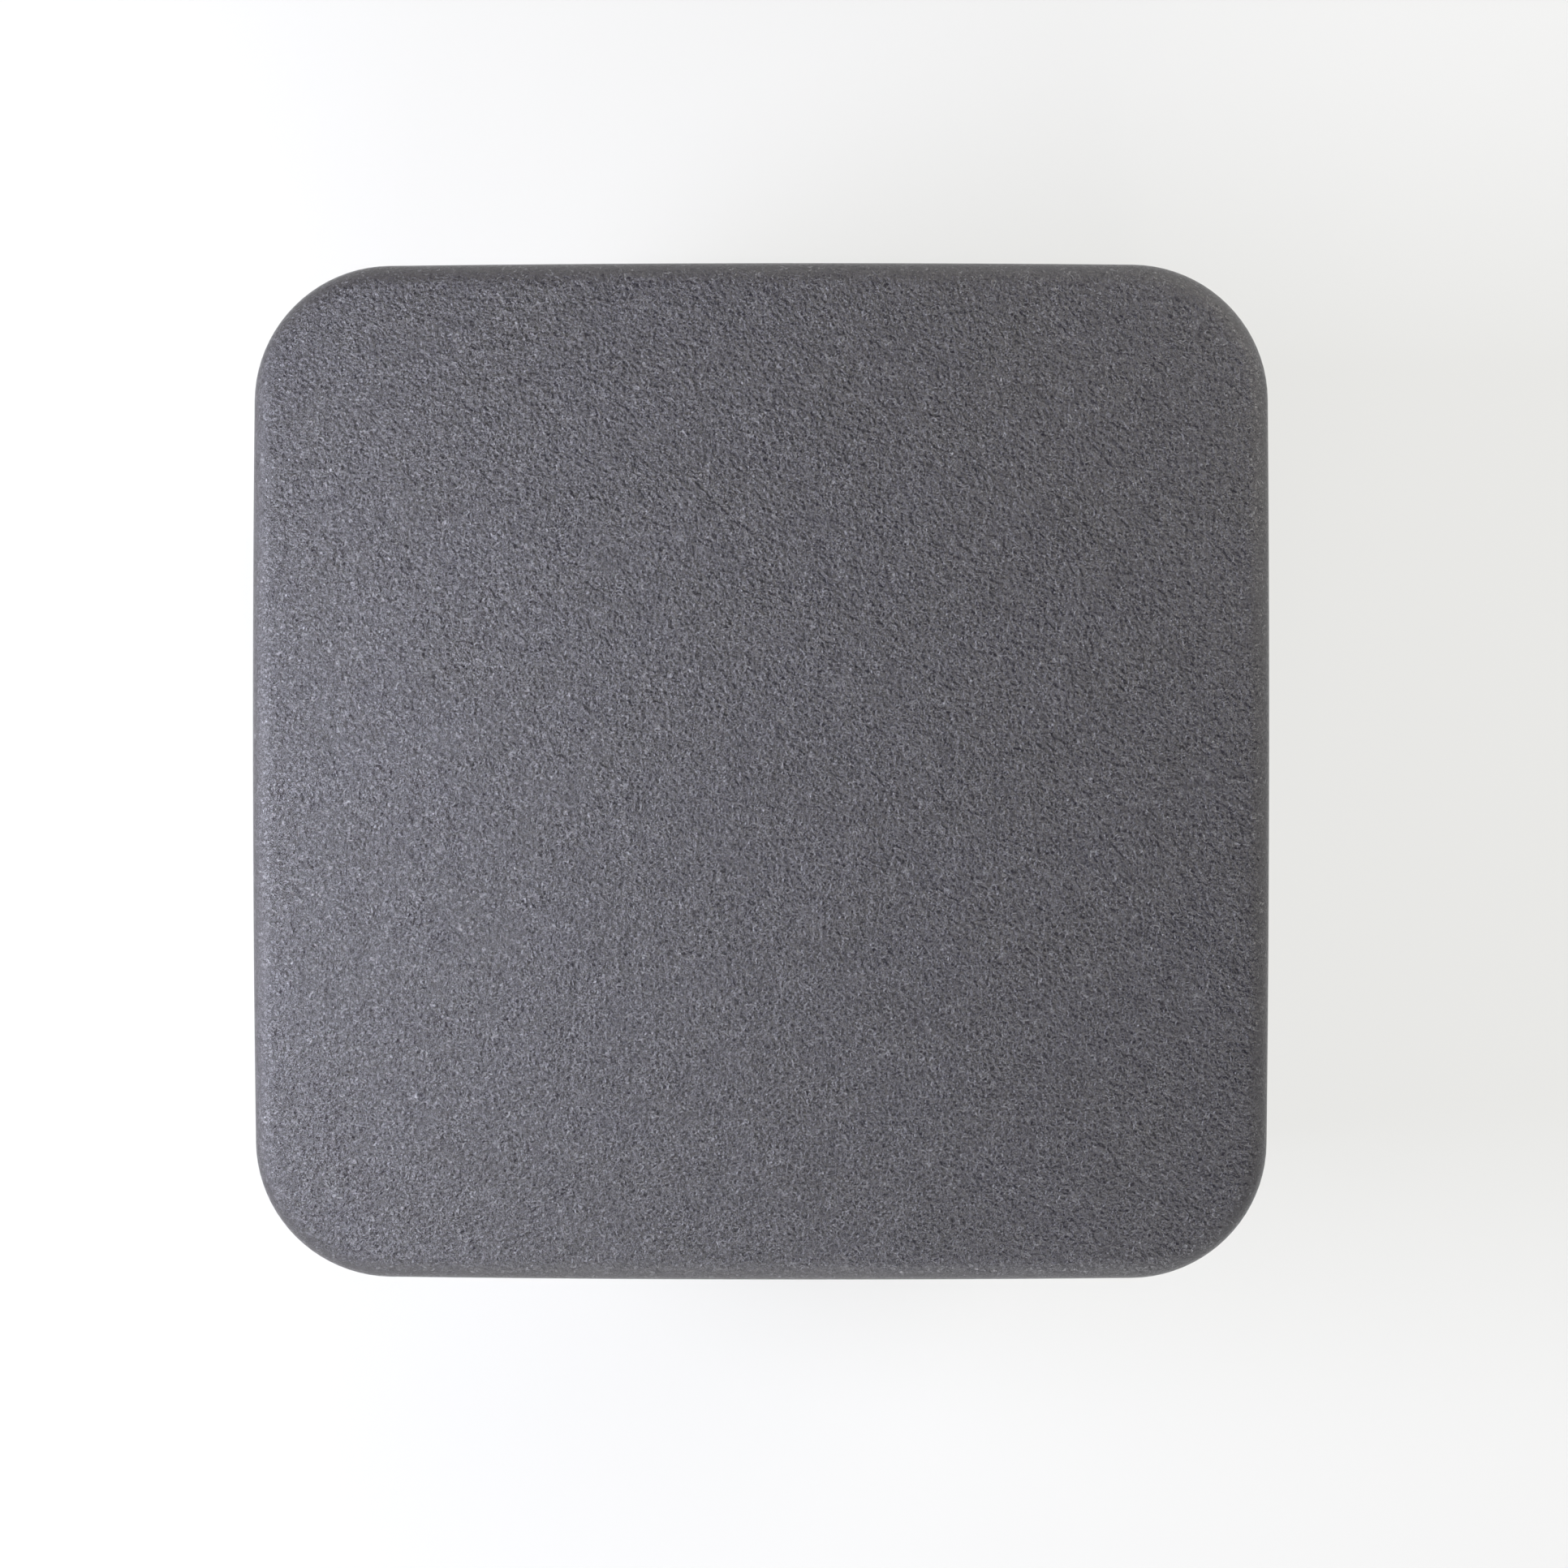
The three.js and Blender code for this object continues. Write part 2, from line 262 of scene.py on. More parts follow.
def head_tree():
    """Domes the flat moulding and adds what is under it. Every level above the rim falls away from the
    middle as a sphere does, and the rim itself stays level."""
    tree, given = sizes_tree("domed_head", head_sizes)
    axes = position_axes(tree)
    downward = calc(tree, "MULTIPLY", given["Crown Radius"], -2.0)
    fall = calc(tree, "DIVIDE", squared_reach(tree, axes), downward)
    share = rescale(tree, axes["Z"], given["Level Up To"], given["Domed From"])
    lowered = {"Geometry": given["Geometry"], "Offset": point(tree, z=calc(tree, "MULTIPLY", fall, share))}
    domed = node(tree, "GeometryNodeSetPosition", lowered).outputs[0]

    reach = calc(tree, "ADD", given["Hollow Half Width"], given["Rib Root"])
    rib_top = calc(tree, "ADD", given["Roof Height"], given["Rib Root"])
    ribs = crossed_bars(tree, reach, given["Rib Thickness"], given["Cross Rib Height"], rib_top)
    details = [pin(tree, given["Boss Radius"], given["Boss Height"], rib_top, given["Screw Offset"])]
    half_thick = calc(tree, "MULTIPLY", given["Rib Thickness"], 0.5)
    for side in (-1.0, 1.0):
        offset = calc(tree, "MULTIPLY", given["Centring Rib Offset"], side)
        low_y = calc(tree, "SUBTRACT", offset, half_thick)
        high_y = calc(tree, "ADD", offset, half_thick)
        low = (given["Centring Rib Reach"], low_y, given["Level Up To"])
        details.append(slab(tree, low, (reach, high_y, rib_top)))
    quarter = node(tree, "GeometryNodeJoinGeometry", {"Geometry": details}).outputs[0]
    ribbed = join_solids(tree, [domed, *ribs, four_times(tree, quarter)])

    below = calc(tree, "SUBTRACT", given["Boss Height"], given["Rib Root"])
    pilot = pin(tree, given["Pilot Radius"], below, given["Pilot Top"], given["Screw Offset"])
    end_tree(tree, cut_solid(tree, ribbed, [four_times(tree, pilot)]), given["Material"])
    return tree


def run_tree(made, tree, values, sharpest=35):
    """Runs a tree on an object, keeps the plain mesh that it makes, and shades it smooth. Edges that turn
    by more than so many degrees stay sharp."""
    modifier = made.modifiers.new(tree.name, "NODES")
    modifier.node_group = tree
    sockets = [item for item in tree.interface.items_tree if item.in_out == "INPUT"]
    identifiers = {socket.name: socket.identifier for socket in sockets}
    for label, value in values.items():
        modifier[identifiers[label]] = value
    evaluated = made.evaluated_get(bpy.context.evaluated_depsgraph_get())
    mesh = bpy.data.meshes.new_from_object(evaluated)
    made.modifiers.clear()
    mesh.materials.clear()
    mesh.materials.append(values["Material"])
    mesh.polygons.foreach_set("material_index", [0] * len(mesh.polygons))
    made.data = mesh
    smooth(made, sharpest)


def smooth(made, sharpest=35):
    """Shades a mesh smooth, apart from its sharp edges."""
    made.data.polygons.foreach_set("use_smooth", [True] * len(made.data.polygons))
    made.data.set_sharp_from_angle(angle=math.radians(sharpest))


def texture_group(name, inputs, outputs):
    """An empty shader node group with named number inputs and outputs."""
    group = bpy.data.node_groups.new(name, "ShaderNodeTree")
    for label, value in inputs.items():
        socket = group.interface.new_socket(label, in_out="INPUT", socket_type="NodeSocketFloat")
        socket.default_value = value
    for label in outputs:
        group.interface.new_socket(label, in_out="OUTPUT", socket_type="NodeSocketFloat")
    return group, node(group, "NodeGroupInput").outputs, node(group, "NodeGroupOutput").inputs


def noise(tree, place, scale, detail=2.0, roughness=0.5, distortion=0.0):
    look = {"Vector": place, "Scale": scale, "Detail": detail, "Roughness": roughness}
    return node(tree, "ShaderNodeTexNoise", {**look, "Distortion": distortion}).outputs


def stray(tree, place, scale, distance):
    """Moves each place a little aside by a noise, so that what is drawn there isn't regular."""
    wander = noise(tree, place, scale, 1.0)["Color"]
    middle = {0: wander, 1: (0.5, 0.5, 0.5)}
    aside = node(tree, "ShaderNodeVectorMath", middle, operation="SUBTRACT").outputs[0]
    sideways = {0: aside, 1: (distance, distance, distance), 2: place}
    return node(tree, "ShaderNodeVectorMath", sideways, operation="MULTIPLY_ADD").outputs[0]


def grain_group():
    """Spark-eroded grain: small overlapping craters with sharp ridges and finer grit, stronger in some
    places than in others. Flecks is a sparse mask of small specks, for a material to paint as glints of
    light, and Clouds are faint patches in the colour."""
    group, given, result = texture_group(
        "spark_eroded_grain",
        {"Grains per Metre": 3300.0, "Grit Share": 0.6, "Swell": 0.5, "Weakest": 0.75, "Fleck Level": 0.6},
        ["Height", "Flecks", "Clouds"],
    )
    place = node(group, "ShaderNodeTexCoord").outputs["Object"]
    scale = given["Grains per Metre"]
    strayed = stray(group, place, scale, 0.0003)
    craters = node(group, "ShaderNodeTexVoronoi", {"Vector": strayed, "Scale": scale}, feature="F1")
    bowl = calc(group, "POWER", craters.outputs["Distance"], 2.0)
    grit = noise(group, strayed, calc(group, "MULTIPLY", scale, 1.1), 4.0, 0.7)["Fac"]
    blend = {"Factor": given["Grit Share"], "A": bowl, "B": grit}
    mixed = node(group, "ShaderNodeMix", blend, data_type="FLOAT").outputs[0]
    swell = noise(group, place, calc(group, "MULTIPLY", scale, 0.42), 2.0)["Fac"]
    rough = calc(group, "ADD", mixed, calc(group, "MULTIPLY", swell, given["Swell"]))
    patches = noise(group, place, 700.0)["Fac"]
    strength = rescale(group, patches, 0.35, 0.65, given["Weakest"], 1.0)
    fine = noise(group, strayed, calc(group, "MULTIPLY", scale, 0.85), 3.0, 0.6, 1.6)["Fac"]
    group.links.new(calc(group, "MULTIPLY", rough, strength), result["Height"])
    group.links.new(rescale(group, fine, given["Fleck Level"], 0.74, blend="SMOOTHSTEP"), result["Flecks"])
    group.links.new(noise(group, place, 260.0, 4.0, 0.6)["Fac"], result["Clouds"])
    return group


def new_material(name):
    """A material with a bare Principled shader. Returns it with its tree and the shader's inputs."""
    made = bpy.data.materials.new(name)
    made.use_nodes = True
    made.node_tree.nodes.clear()
    surface = node(made.node_tree, "ShaderNodeBsdfPrincipled")
    node(made.node_tree, "ShaderNodeOutputMaterial", {"Surface": surface.outputs[0]})
    return made, made.node_tree, surface.inputs


def put_group(tree, group, inputs):
    return node(tree, "ShaderNodeGroup", inputs, node_tree=group).outputs


def colour_mix(tree, factor, a, b):
    """A colour between two, each of them a fixed colour or a link."""
    mixed = node(tree, "ShaderNodeMix", {"Factor": factor}, data_type="RGBA")
    for index, colour in ((6, a), (7, b)):
        if isinstance(colour, bpy.types.NodeSocket):
            tree.links.new(colour, mixed.inputs[index])
        else:
            mixed.inputs[index].default_value = (*colour, 1)
    return mixed.outputs[2]


def bump(tree, height, distance):
    raised = {"Height": height, "Strength": 1.0, "Distance": distance}
    return node(tree, "ShaderNodeBump", raised).outputs[0]


grain = grain_group()


def head_plastic():
    """Dark grey, warmer in some patches and cooler in others, with shinier specks on the grain that are
    painted pale as glints of light.
    """
    warm_grey = (0.011, 0.0095, 0.0105)
    cool_grey = (0.009, 0.0080, 0.0140)
    # painted glints: this pale grey stands in for light caught by the grain, not for a colour of the
    # plastic
    painted_glint_grey = (0.085, 0.085, 0.09)
    made, tree, surface = new_material("head_grained_plastic")
    pattern = {"Grains per Metre": 3800.0, "Grit Share": 0.7, "Swell": 0.15}
    texture = put_group(tree, grain, {**pattern, "Weakest": 0.9, "Fleck Level": 0.54})
    clouded = colour_mix(tree, texture["Clouds"], warm_grey, cool_grey)
    # paints the glints into the base colour wherever the Flecks mask is high
    flecked = colour_mix(tree, texture["Flecks"], clouded, painted_glint_grey)
    tree.links.new(flecked, surface["Base Color"])
    tree.links.new(rescale(tree, texture["Flecks"], 0.0, 1.0, 0.26, 0.17), surface["Roughness"])
    tree.links.new(bump(tree, texture["Height"], 0.00017), surface["Normal"])
    surface["Specular IOR Level"].default_value = 0.6
    return made


head_sizes = {
    "Crown Radius": crown_radius,
    "Level Up To": rim_z,
    "Domed From": roof_z - cavity_fillet,
    "Hollow Half Width": cavity_half,
    "Roof Height": roof_z,
    "Rib Thickness": 0.0012,
    "Rib Root": rib_root,
    "Cross Rib Height": plug_high.z + rib_gap,
    "Centring Rib Offset": 0.010,
    "Centring Rib Reach": 0.025,
    "Screw Offset": screw_offset,
    "Boss Radius": 0.0035,
    "Boss Height": head_low.z,
    "Pilot Radius": 0.0015,
    "Pilot Top": screw_high.z + pilot_spare,
}
head = moulded("head_moulding", head_profile())
run_tree(head, head_tree(), {**head_sizes, "Material": head_plastic()})
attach(head, "root")
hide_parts("cap_head")


# --- Gasket ---
# A flat ring of black rubber, cut a little smaller than the head, that keeps rain out of the post. It is
# held between the head's rim and the sawn end of the post, and its edges are slightly rounded.

gasket_half = gasket_high.x
gasket_inner_half = 0.025
gasket_edge = 0.00035


def gasket_profile():
    """The ring's section, a loop from the top of its inner edge down, across and up its outer edge."""
    low_z = gasket_low.z + gasket_edge
    high_z = gasket_high.z - gasket_edge
    inner = gasket_inner_half + gasket_edge
    outer = gasket_half - gasket_edge
    points = arc(inner, high_z, gasket_edge, 90, 180, 6)
    points += arc(inner, low_z, gasket_edge, 180, 270, 6)
    points += arc(outer, low_z, gasket_edge, 270, 360, 6)
    return points + arc(outer, high_z, gasket_edge, 0, 90, 6)


def gasket_rubber():
    """Black, with a fine skin and the duller, paler bloom that rubber gets."""
    black = (0.010, 0.010, 0.010)
    bloom_grey = (0.026, 0.026, 0.025)
    made, tree, surface = new_material("gasket_black_rubber")
    place = node(tree, "ShaderNodeTexCoord").outputs["Object"]
    bloom = rescale(tree, noise(tree, place, 90.0, 5.0, 0.65)["Fac"], 0.42, 0.68)
    specks = noise(tree, place, 2600.0, 3.0, 0.6)["Fac"]
    tree.links.new(colour_mix(tree, bloom, black, bloom_grey), surface["Base Color"])
    tree.links.new(rescale(tree, bloom, 0.0, 1.0, 0.62, 0.86), surface["Roughness"])
    tree.links.new(bump(tree, specks, 0.00006), surface["Normal"])
    surface["Specular IOR Level"].default_value = 0.4
    return made


gasket = moulded("gasket_ring", gasket_profile())
gasket.data.materials.append(gasket_rubber())
smooth(gasket)
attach(gasket, "root")
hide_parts("rim_gasket")


# --- Plug ---
# The plug is moulded in a softer, slightly waxy black plastic. Five rows of thin fins run round its sleeve,
# open at the corners, and bend as it is pushed into the post. A plate across the sleeve takes the screws,
# and a cross of ribs below the plate keeps the walls straight.

sleeve_half = 0.0248
sleeve_wall = 0.0018
lead_in = 0.001
lead_in_height = 0.003
screw_head_height = 0.0022
plate_low_z = screw_low.z + screw_head_height
plate_high_z = head_low.z
plug_edge = 0.0003
plug_fillet = 0.0006
fin_tip_half = 0.0279
fin_straight_half = 0.022
corner_gap = 0.006
past_plate = 0.001
ripple_scale = 90.0


def plug_profile():
    """The sleeve and its plate, from the middle of the plate's underside round the wall to its top. The
    sleeve's outside tapers at the bottom, which leads it into the post."""
    inner = sleeve_half - sleeve_wall
    low_z = plug_low.z + plug_edge
    high_z = plug_high.z - plug_edge
    taper = math.degrees(math.atan2(lead_in, lead_in_height))
    points = [(0, plate_low_z)]
    points += arc(inner - plug_fillet, plate_low_z - plug_fillet, plug_fillet, 90, 0, 5)
    points += arc(inner + plug_edge, low_z, plug_edge, 180, 270, 4)
    points += arc(sleeve_half - lead_in - plug_edge, low_z, plug_edge, 270, 360 - taper, 4)
    points += [(sleeve_half, lead_in_height)]
    points += arc(sleeve_half - plug_edge, high_z, plug_edge, 0, 90, 4)
    points += arc(inner + plug_edge, high_z, plug_edge, 90, 180, 4)
    points += arc(inner - plug_fillet, plate_high_z + plug_fillet, plug_fillet, 360, 270, 5)
    return points + [(0, plate_high_z)]


def fin(tree, given):
    """A straight fin for one side, from a block of small cells: its section tapers and rises towards a
    blunt tip, its tip follows the post's rounded corners, and both ends are cut off at 45 degrees."""
    cells = {"Size": (1, 1, 1), "Vertices X": 6, "Vertices Y": 60, "Vertices Z": 5}
    cube = node(tree, "GeometryNodeMeshCube", cells).outputs[0]
    axes = position_axes(tree)
    out = calc(tree, "ADD", axes["X"], 0.5)
    half = rescale(tree, out, 0.0, 1.0, given["Fin Root Half"], given["Fin Tip Half"])
    end = calc(tree, "SUBTRACT", half, given["Fin Corner Gap"])
    along = calc(tree, "MULTIPLY", calc(tree, "MULTIPLY", axes["Y"], 2.0), end)

    thickness = rescale(tree, out, 0.0, 1.0, given["Fin Root Thickness"], given["Fin Tip Thickness"])
    below_top = calc(tree, "MULTIPLY", calc(tree, "SUBTRACT", axes["Z"], 0.5), thickness)
    rise = calc(tree, "MULTIPLY", calc(tree, "SUBTRACT", out, 1.0), given["Fin Rise"])

    nose = calc(tree, "POWER", calc(tree, "MULTIPLY", axes["Z"], 2.0), 2.0)
    near_tip = rescale(tree, out, 0.75, 1.0)
    blunt = calc(tree, "MULTIPLY", calc(tree, "MULTIPLY", nose, near_tip), given["Fin Blunting"])
    past_straight = calc(tree, "SUBTRACT", calc(tree, "ABSOLUTE", along), given["Fin Straight"])
    curve = calc(tree, "POWER", calc(tree, "MAXIMUM", past_straight, 0.0), 2.0)
    corner = calc(tree, "DIVIDE", curve, calc(tree, "MULTIPLY", given["Fin Corner Radius"], 2.0))
    blunted = calc(tree, "SUBTRACT", half, blunt)
    across = calc(tree, "SUBTRACT", blunted, calc(tree, "MULTIPLY", corner, out))
    shaped = {"Geometry": cube, "Position": point(tree, across, along, calc(tree, "ADD", below_top, rise))}
    return node(tree, "GeometryNodeSetPosition", shaped).outputs[0]


def plug_tree():
    """Adds the fins and the ribs to the sleeve, and makes the holes for the screws."""
    tree, given = sizes_tree("finned_plug", plug_sizes)
    levels = {
        "Count": given["Fin Rows"],
        "Start Location": point(tree, z=given["First Fin Height"]),
        "Offset": point(tree, z=given["Fin Pitch"]),
    }
    rows = {"Points": node(tree, "GeometryNodeMeshLine", levels).outputs[0], "Instance": fin(tree, given)}
    stacked = node(tree, "GeometryNodeInstanceOnPoints", rows).outputs[0]
    fins = four_times(tree, node(tree, "GeometryNodeRealizeInstances", {"Geometry": stacked}).outputs[0])
    place = node(tree, "GeometryNodeInputPosition").outputs[0]
    seeded = {"Vector": place, "W": given["Seed"], "Scale": ripple_scale, "Detail": 0.0}
    ripple = node(tree, "ShaderNodeTexNoise", seeded, noise_dimensions="4D").outputs[0]
    lift = calc(tree, "MULTIPLY", calc(tree, "SUBTRACT", ripple, 0.5), given["Fin Waviness"])
    raised = {"Geometry": fins, "Offset": point(tree, z=lift)}
    waved = node(tree, "GeometryNodeSetPosition", raised).outputs[0]

    thickness = given["Rib Thickness"]
    ribs = crossed_bars(tree, given["Rib Reach"], thickness, given["Rib Bottom"], given["Rib Top"])
    whole = join_solids(tree, [given["Geometry"], *ribs, waved])
    hole = pin(tree, given["Hole Radius"], given["Hole Bottom"], given["Hole Top"], given["Screw Offset"])
    end_tree(tree, cut_solid(tree, whole, [four_times(tree, hole)]), given["Material"])
    return tree


def dust_group():
    """Pale specks and short fibres of dust, few and far between, which settle on any surface."""
    inputs = {"Specks per Metre": 700.0, "Speck Size": 0.1}
    group, given, result = texture_group("settled_dust", inputs, ["Dust"])
    place = node(group, "ShaderNodeTexCoord").outputs["Object"]
    strayed = stray(group, place, 900.0, 0.0012)
    cells = node(group, "ShaderNodeTexVoronoi", {"Vector": strayed, "Scale": given["Specks per Metre"]})
    chance = node(group, "ShaderNodeSeparateXYZ", {0: cells.outputs["Color"]}).outputs["X"]
    speck = rescale(group, cells.outputs["Distance"], given["Speck Size"], 0.0, blend="SMOOTHSTEP")
    kept = rescale(group, chance, 0.80, 0.84)
    group.links.new(calc(group, "MULTIPLY", speck, kept), result["Dust"])
    return group


dust = dust_group()


def plug_plastic():
    """Black and slightly waxy, with a finer and fainter grain than the head's. The fins' tips are scuffed
    paler where they rub along the post."""
    black = (0.016, 0.016, 0.017)
    worn_black = (0.024, 0.024, 0.026)
    scuff_grey = (0.075, 0.075, 0.078)
    dust_grey = (0.25, 0.24, 0.23)
    scuff_starts = 0.0005
    scuff_full = 0.0001
    made, tree, surface = new_material("plug_soft_black_plastic")
    texture = put_group(tree, grain, {"Grains per Metre": 4200.0, "Grit Share": 0.8, "Weakest": 0.5})
    specks = put_group(tree, dust, {"Specks per Metre": 500.0, "Speck Size": 0.09})["Dust"]
    place = node(tree, "ShaderNodeTexCoord").outputs["Object"]
    absolute = node(tree, "ShaderNodeVectorMath", {0: place}, operation="ABSOLUTE").outputs[0]
    axes = node(tree, "ShaderNodeSeparateXYZ", {0: absolute}).outputs
    reach = calc(tree, "MAXIMUM", axes["X"], axes["Y"])
    tip = rescale(tree, reach, fin_tip_half - scuff_starts, fin_tip_half - scuff_full)
    patchy = rescale(tree, noise(tree, place, 400.0, 4.0, 0.7)["Fac"], 0.38, 0.62)
    scuffed = calc(tree, "MULTIPLY", tip, patchy)
    clouded = colour_mix(tree, texture["Clouds"], black, worn_black)
    worn = colour_mix(tree, scuffed, clouded, scuff_grey)
    tree.links.new(colour_mix(tree, specks, worn, dust_grey), surface["Base Color"])
    tree.links.new(rescale(tree, scuffed, 0.0, 1.0, 0.40, 0.62), surface["Roughness"])
    tree.links.new(bump(tree, texture["Height"], 0.00005), surface["Normal"])
    return made


plug_sizes = {
    "Fin Rows": 5,
    "First Fin Height": 0.0032,
    "Fin Pitch": 0.004,
    "Fin Root Half": 0.0236,
    "Fin Tip Half": fin_tip_half,
    "Fin Root Thickness": 0.0014,
    "Fin Tip Thickness": 0.0006,
    "Fin Rise": 0.0005,
    "Fin Blunting": 0.00015,
    "Fin Corner Gap": corner_gap / math.sqrt(2),
    "Fin Straight": fin_straight_half,
    "Fin Corner Radius": fin_tip_half - fin_straight_half,
    "Fin Waviness": 0.0004,
    "Seed": 3.0,
    "Rib Thickness": 0.0015,
    "Rib Reach": sleeve_half - sleeve_wall + rib_root,
    "Rib Bottom": 0.0015,
    "Rib Top": plate_low_z + rib_root,
    "Screw Offset": screw_offset,
    "Hole Radius": 0.00165,
    "Hole Bottom": plate_low_z - past_plate,
    "Hole Top": plate_high_z + past_plate,
}
plug = moulded("plug_moulding", plug_profile())
run_tree(plug, plug_tree(), {**plug_sizes, "Material": plug_plastic()})
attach(plug, "root")
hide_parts("ribbed_plug")


# --- Screws ---
# Four 2.9 x 9.5 mm stainless self-tapping screws with pan heads and a cross recess. They are driven from
# below through the plug's plate, and their rolled threads bite into the bosses under the head.

screw_length = 0.0095
screw_head_radius = (screw_high.x - screw_low.x) / 2
screw_core_radius = 0.00105
screw_thread_depth = 0.0004
screw_thread_pitch = 0.0011
screw_point = 0.0024
screw_tip_radius = 0.00012
screw_tip_length = 0.0001
screw_turn = 1.9
thread_end_share = 0.12
recess_end_share = 0.4
past_head = 0.0001


def round_ring(radius, steps=40):
    """Points round a circle, counterclockwise."""
    angles = [2 * math.pi * i / steps for i in range(steps)]
    return [(radius * math.cos(a), radius * math.sin(a)) for a in angles]


def screw_profile():
    """Head down and point up, with the seat of the head at z = 0: a pan head, the core and the point."""
    flat_radius = 0.5 * screw_head_radius
    shoulder = screw_head_radius - flat_radius
    drop = 0.55 * screw_head_height
    rim = 0.0001
    shoulder_steps = 8
    points = [(0, -screw_head_height)]
    for i in range(shoulder_steps + 1):
        angle = quarter_turn * i / shoulder_steps
        fallen = -screw_head_height + drop * (1 - math.cos(angle))
        points.append((flat_radius + shoulder * math.sin(angle), fallen))
    points += arc(screw_head_radius - rim, -rim, rim, 0, 90, 3)
    points += [(screw_core_radius, 0), (screw_core_radius, screw_length - screw_point)]
    return points + [(screw_tip_radius, screw_length - screw_tip_length), (0, screw_length)]


def squeezed(tree, geometry, share):
    """Draws each point of a geometry in towards the upright axis, to a share of its distance."""
    axes = position_axes(tree)
    x = calc(tree, "MULTIPLY", axes["X"], share)
    y = calc(tree, "MULTIPLY", axes["Y"], share)
    drawn = {"Geometry": geometry, "Position": point(tree, x, y, axes["Z"])}
    return node(tree, "GeometryNodeSetPosition", drawn).outputs[0]


def screw_tree():
    """Rolls a thread onto the screw, narrows it towards the point, presses the cross into the head, and
    puts the screw in its place."""
    tree, given = sizes_tree("pan_head_screw", screw_sizes)
    pitch_count = calc(tree, "DIVIDE", given["Thread Length"], given["Thread Pitch"])
    coil = {
        "Resolution": 24,
        "Rotations": pitch_count,
        "Start Radius": given["Core Radius"],
        "End Radius": given["Core Radius"],
        "Height": given["Thread Length"],
    }
    helix = node(tree, "GeometryNodeCurveSpiral", coil).outputs[0]
    diamond = {"Resolution": 4, "Radius": given["Thread Depth"]}
    ridge = node(tree, "GeometryNodeCurvePrimitiveCircle", diamond).outputs[0]
    rolled = {"Curve": helix, "Profile Curve": ridge, "Fill Caps": True}
    ribbon = node(tree, "GeometryNodeCurveToMesh", rolled).outputs[0]
    thread = moved(tree, ribbon, point(tree, z=given["Thread Start"]))
    height = position_axes(tree)["Z"]
    point_start = calc(tree, "SUBTRACT", given["Length"], given["Point Length"])
    narrow = rescale(tree, height, point_start, given["Length"], 1.0, thread_end_share)
    threaded = join_solids(tree, [given["Geometry"], squeezed(tree, thread, narrow)])

    bottom = negative(tree, given["Head Height"])
    recess_top = calc(tree, "ADD", bottom, given["Recess Depth"])
    half_long = calc(tree, "MULTIPLY", given["Recess Width"], 0.5)
    below = calc(tree, "SUBTRACT", bottom, past_head)
    cross = join_solids(tree, crossed_bars(tree, half_long, given["Recess Slot"], below, recess_top))
    shrink = rescale(tree, height, bottom, recess_top, 1.0, recess_end_share)
    whole = cut_solid(tree, threaded, [squeezed(tree, cross, shrink)])
    seat = point(tree, given["Place X"], given["Place Y"], given["Seat Height"])
    end_tree(tree, moved(tree, whole, seat, point(tree, z=given["Turn"])), given["Material"])
    return tree


def screw_steel():
    """Stainless steel with faint turned rings round each head, a few darker stains and a soft shine."""
    bright_steel = (0.58, 0.575, 0.56)
    stained_steel = (0.40, 0.395, 0.38)
    made, tree, surface = new_material("screw_stainless_steel")
    place = node(tree, "ShaderNodeTexCoord").outputs["Object"]
    folded = node(tree, "ShaderNodeVectorMath", {0: place}, operation="ABSOLUTE").outputs[0]
    centre = {0: folded, 1: (screw_offset, screw_offset, 0)}
    own = node(tree, "ShaderNodeVectorMath", centre, operation="SUBTRACT").outputs[0]
    axes = node(tree, "ShaderNodeSeparateXYZ", {0: own}).outputs
    radius = calc(tree, "SQRT", squared_reach(tree, axes))
    rings = noise(tree, point(tree, x=radius, z=axes["Z"]), 6000.0, 2.0)["Fac"]
    stains = rescale(tree, noise(tree, place, 500.0, 4.0, 0.6)["Fac"], 0.4, 0.7)
    tree.links.new(colour_mix(tree, stains, bright_steel, stained_steel), surface["Base Color"])
    tree.links.new(rescale(tree, stains, 0.0, 1.0, 0.26, 0.42), surface["Roughness"])
    tree.links.new(bump(tree, rings, 0.00003), surface["Normal"])
    surface["Metallic"].default_value = 1.0
    return made


screw_sizes = {
    "Length": screw_length,
    "Point Length": screw_point,
    "Core Radius": screw_core_radius,
    "Thread Depth": screw_thread_depth,
    "Thread Pitch": screw_thread_pitch,
    "Thread Start": 0.0005,
    "Thread Length": screw_length - screw_thread_pitch,
    "Head Height": screw_head_height,
    "Recess Width": 0.003,
    "Recess Slot": 0.00075,
    "Recess Depth": 0.0013,
    "Seat Height": plate_low_z,
    "Place X": 0.0,
    "Place Y": 0.0,
    "Turn": 0.0,
}
screw_nodes = screw_tree()
steel = screw_steel()
for number in range(1, 5):
    low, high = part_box(f"plug_screw_{number}")
    place = {"Place X": (low.x + high.x) / 2, "Place Y": (low.y + high.y) / 2, "Turn": screw_turn * number}
    screw = moulded(f"screw_{number}", screw_profile(), round_ring)
    run_tree(screw, screw_nodes, {**screw_sizes, **place, "Material": steel})
    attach(screw, "root")
    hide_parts(f"plug_screw_{number}")


# --- Floor, light and camera ---
# A white table under soft daylight: a near window to the left gives the cool sheen on that side of the
# crown, a far one in front and one to the right light the rest, and the room is pale all round at table
# height, except where a dim doorway opens to the front right.

